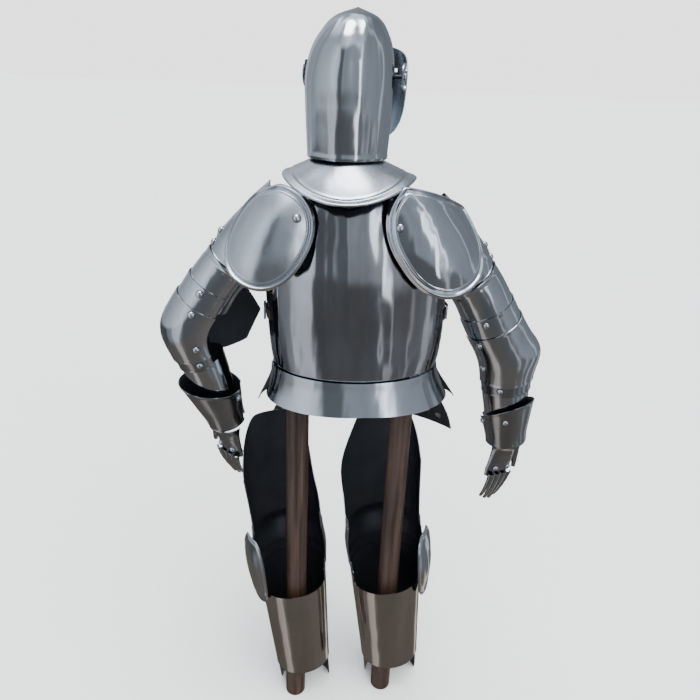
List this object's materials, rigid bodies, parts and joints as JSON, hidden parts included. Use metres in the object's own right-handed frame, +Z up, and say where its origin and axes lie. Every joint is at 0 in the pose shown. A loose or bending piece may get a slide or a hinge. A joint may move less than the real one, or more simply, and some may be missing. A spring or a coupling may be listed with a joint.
{
  "type": "suit of plate armour on a wooden stand",
  "caption": "Hollow full suit of polished steel plates, posed with one hand on the hip, on a dark wooden post stand; the helmet's visor lifts.",
  "frame": {"origin": "middle of the bounding box, at the floor that the posts and the shin plates stand on", "axes": "+Z up; the suit's front faces -Y, and +X is the wearer's left"},
  "size_m": [0.899, 0.3772, 1.789],
  "materials": {
    "polished_steel": "polished sheet steel",
    "satin_steel": "satin polished sheet steel",
    "dark_steel": "polished sheet steel, dark inside",
    "stained_wood": "dark stained, satin",
    "strap_leather": "worn black"
  },
  "bodies": {
    "suit": {"helmet_skull": "polished_steel", "visor_bolt_left": "polished_steel", "visor_bolt_right": "polished_steel", "head_block": "stained_wood", "gorget_back": "satin_steel", "gorget_front": "satin_steel", "backplate": "polished_steel", "breastplate": "polished_steel", "waist_flange_side": "polished_steel", "waist_flange_back": "satin_steel", "waist_flange_front": "polished_steel", "side_strap_left": "strap_leather", "side_strap_right": "strap_leather", "tasset_left": "polished_steel", "tasset_right": "polished_steel", "shoulder_cap_left": "polished_steel", "shoulder_lame_left": "polished_steel", "upper_arm_left": "polished_steel", "elbow_upper_lame_left": "polished_steel", "elbow_cop_left": "polished_steel", "elbow_lower_lame_left": "polished_steel", "forearm_left": "polished_steel", "gauntlet_cuff_left": "dark_steel", "hand_plate_left": "dark_steel", "fingers_left": "dark_steel", "shoulder_back_left": "satin_steel", "shoulder_front_left": "satin_steel", "elbow_wing_left": "dark_steel", "shoulder_cap_right": "polished_steel", "shoulder_lame_right": "polished_steel", "upper_arm_right": "polished_steel", "elbow_upper_lame_right": "polished_steel", "elbow_cop_right": "polished_steel", "elbow_lower_lame_right": "polished_steel", "forearm_right": "polished_steel", "gauntlet_cuff_right": "dark_steel", "hand_plate_right": "dark_steel", "fingers_right": "dark_steel", "shoulder_back_right": "satin_steel", "shoulder_front_right": "satin_steel", "elbow_wing_right": "dark_steel", "shin_left": "dark_steel", "calf_left": "polished_steel", "knee_lame_left": "dark_steel", "knee_cop_left": "dark_steel", "thigh_left": "dark_steel", "knee_wing_left": "polished_steel", "shin_right": "dark_steel", "calf_right": "polished_steel", "knee_lame_right": "dark_steel", "knee_cop_right": "dark_steel", "thigh_right": "dark_steel", "knee_wing_right": "polished_steel", "post_left": "stained_wood", "post_right": "stained_wood", "hip_board": "stained_wood", "chest_upright": "stained_wood", "shoulder_bar": "stained_wood", "neck_block": "stained_wood"},
    "visor": {"visor": "dark_steel"}
  },
  "joints": [
    {"name": "visor_lift", "type": "hinge", "parent": "suit", "child": "visor", "pos_m": [0.02891, -0.01413, 1.668], "axis": [-0.9511, 0.309, 0], "range_deg": [0, 45]}
  ]
}
